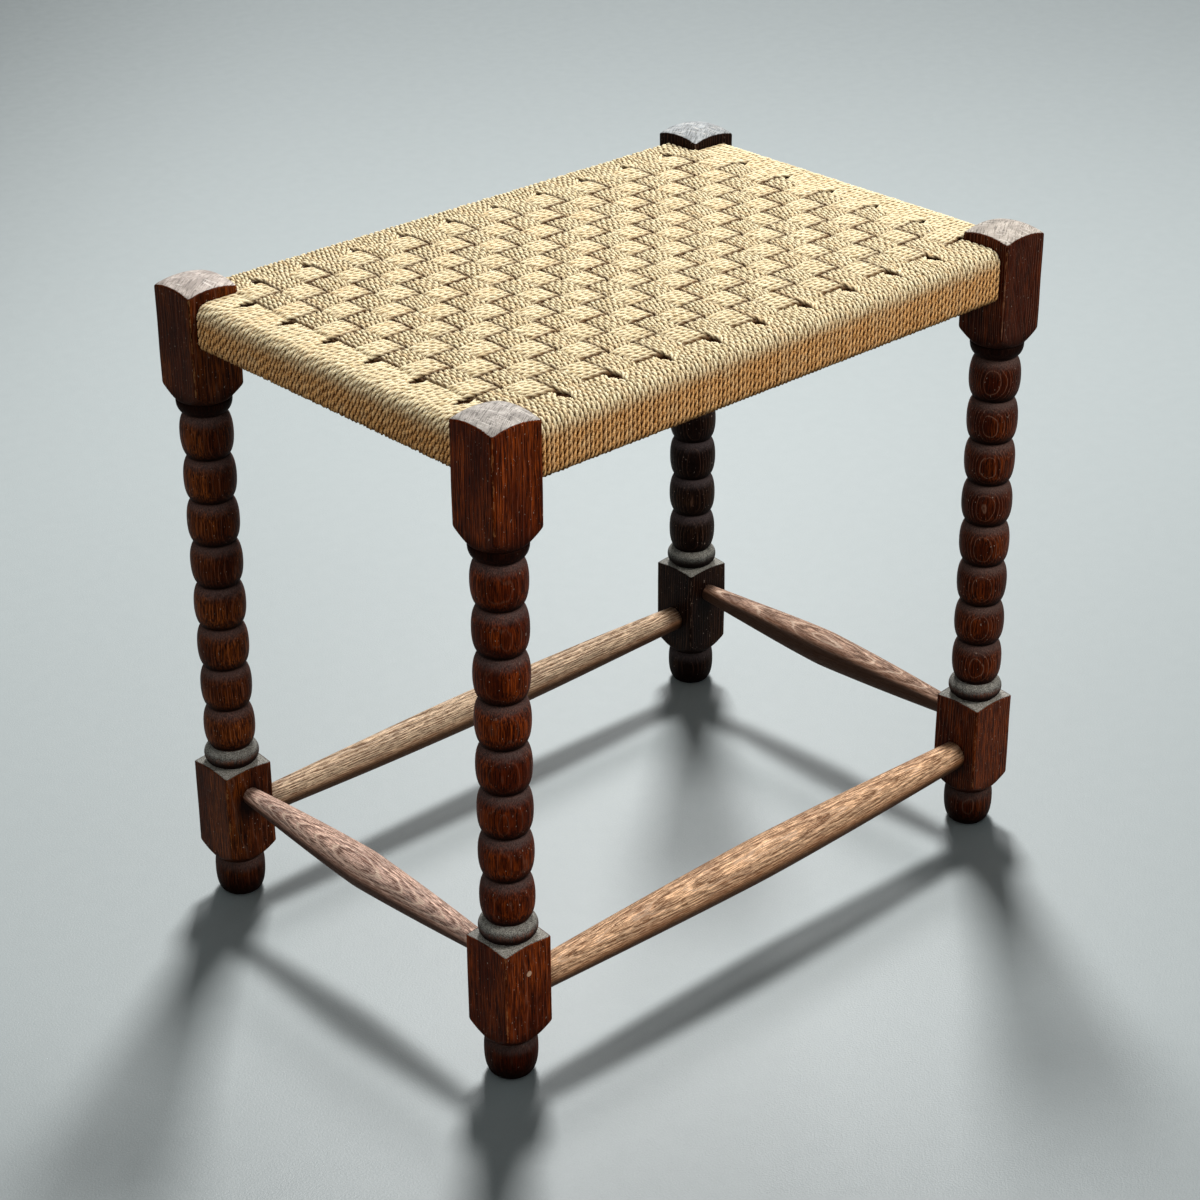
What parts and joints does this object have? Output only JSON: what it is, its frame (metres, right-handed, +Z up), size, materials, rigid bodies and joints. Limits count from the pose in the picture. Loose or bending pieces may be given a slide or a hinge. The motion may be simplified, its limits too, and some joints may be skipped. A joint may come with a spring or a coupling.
{
  "type": "bobbin stool",
  "caption": "Rectangular oak stool with bobbin-turned legs, swelled round stretchers and a twisted-cord seat woven in a basket pattern.",
  "frame": {"origin": "on the floor under the middle of the seat", "axes": "+X along the long sides, -Y towards the front, +Z up"},
  "size_m": [0.465, 0.317, 0.4415],
  "materials": {
    "leg_oak": "dark stain under worn wax",
    "stretcher_oak": "worn back to pale raw oak",
    "rail_oak": "unfinished, hidden under the cord",
    "seat_cord": "twisted straw-coloured cord",
    "tack_steel": "dull blued steel",
    "peg_oak": "pale end grain"
  },
  "bodies": {
    "root": {"leg_front_left": "leg_oak", "leg_front_right": "leg_oak", "leg_back_left": "leg_oak", "leg_back_right": "leg_oak", "stretcher_front": "stretcher_oak", "stretcher_back": "stretcher_oak", "stretcher_left": "stretcher_oak", "stretcher_right": "stretcher_oak", "seat_rail_front": "rail_oak", "seat_rail_back": "rail_oak", "seat_rail_left": "rail_oak", "seat_rail_right": "rail_oak", "seat_warp": "seat_cord", "seat_weft": "seat_cord", "cord_tacks": "tack_steel", "tenon_peg": "peg_oak"}
  },
  "joints": []
}
